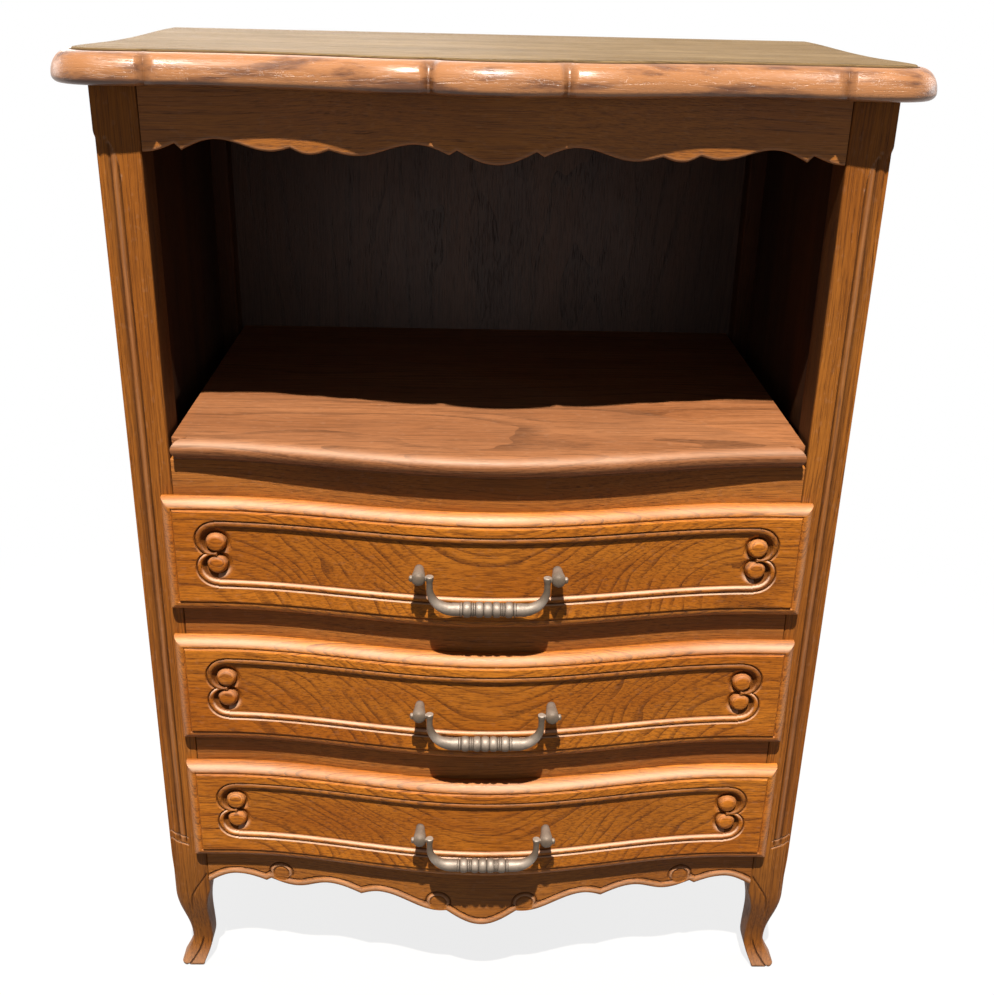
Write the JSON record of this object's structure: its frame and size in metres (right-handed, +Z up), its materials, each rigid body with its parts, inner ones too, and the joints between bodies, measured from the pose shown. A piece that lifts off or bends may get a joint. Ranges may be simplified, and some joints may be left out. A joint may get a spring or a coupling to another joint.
{
  "type": "nightstand",
  "caption": "Provincial oak bedside chest: moulded serpentine top, scalloped rail over an open niche, lipped serpentine drawers with bail handles, scalloped apron and cabriole feet.",
  "frame": {"origin": "on the floor, under the middle of the chest's bounding box", "axes": "+Z up, -Y out of the front, the way the drawers open, +X to the right when facing the front"},
  "size_m": [0.557, 0.359, 0.725],
  "materials": {
    "oak": "waxed",
    "oak_top": "waxed, faded by light",
    "oak_inner": "dark, dry",
    "drawer_wood": "bare",
    "iron": "dull, rubbed bright on the grips"
  },
  "bodies": {
    "carcass": {"front_leg_left": "oak", "front_leg_right": "oak", "rear_leg_left": "oak", "rear_leg_right": "oak", "front_top_rail": "oak", "shelf_rail": "oak", "drawer_rail_1": "oak", "drawer_rail_2": "oak", "bottom_apron": "oak", "side_top_rail_left": "oak", "side_top_rail_right": "oak", "side_bottom_rail_left": "oak", "side_bottom_rail_right": "oak", "side_panel_left": "oak", "side_panel_right": "oak", "back_top_rail": "oak_inner", "back_bottom_rail": "oak_inner", "back_panel": "oak_inner", "top_board": "oak_top", "shelf": "oak", "shelf_bearer_left": "oak_inner", "shelf_bearer_right": "oak_inner", "drawer_1_runner_left": "oak_inner", "drawer_1_runner_right": "oak_inner", "drawer_2_runner_left": "oak_inner", "drawer_2_runner_right": "oak_inner", "drawer_3_runner_left": "oak_inner", "drawer_3_runner_right": "oak_inner"},
    "drawer_1": {"drawer_1_front": "oak", "drawer_1_side_left": "drawer_wood", "drawer_1_side_right": "drawer_wood", "drawer_1_back": "drawer_wood", "drawer_1_bottom": "drawer_wood", "drawer_1_handle_post_left": "iron", "drawer_1_handle_post_right": "iron"},
    "drawer_2": {"drawer_2_front": "oak", "drawer_2_side_left": "drawer_wood", "drawer_2_side_right": "drawer_wood", "drawer_2_back": "drawer_wood", "drawer_2_bottom": "drawer_wood", "drawer_2_handle_post_left": "iron", "drawer_2_handle_post_right": "iron"},
    "drawer_3": {"drawer_3_front": "oak", "drawer_3_side_left": "drawer_wood", "drawer_3_side_right": "drawer_wood", "drawer_3_back": "drawer_wood", "drawer_3_bottom": "drawer_wood", "drawer_3_handle_post_left": "iron", "drawer_3_handle_post_right": "iron"},
    "bail_1": {"drawer_1_bail": "iron"},
    "bail_2": {"drawer_2_bail": "iron"},
    "bail_3": {"drawer_3_bail": "iron"}
  },
  "joints": [
    {"name": "drawer_1_slide", "type": "slide", "parent": "carcass", "child": "drawer_1", "axis": [0, -1, 0], "range_m": [0, 0.2]},
    {"name": "drawer_2_slide", "type": "slide", "parent": "carcass", "child": "drawer_2", "axis": [0, -1, 0], "range_m": [0, 0.2]},
    {"name": "drawer_3_slide", "type": "slide", "parent": "carcass", "child": "drawer_3", "axis": [0, -1, 0], "range_m": [0, 0.2]},
    {"name": "bail_1_swing", "type": "hinge", "parent": "drawer_1", "child": "bail_1", "pos_m": [0, -0.16456, 0.39085], "axis": [-1, 0, 0], "range_deg": [-5, 140]},
    {"name": "bail_2_swing", "type": "hinge", "parent": "drawer_2", "child": "bail_2", "pos_m": [0, -0.16456, 0.27985], "axis": [-1, 0, 0], "range_deg": [-5, 140]},
    {"name": "bail_3_swing", "type": "hinge", "parent": "drawer_3", "child": "bail_3", "pos_m": [0, -0.16456, 0.16885], "axis": [-1, 0, 0], "range_deg": [-5, 140]}
  ]
}
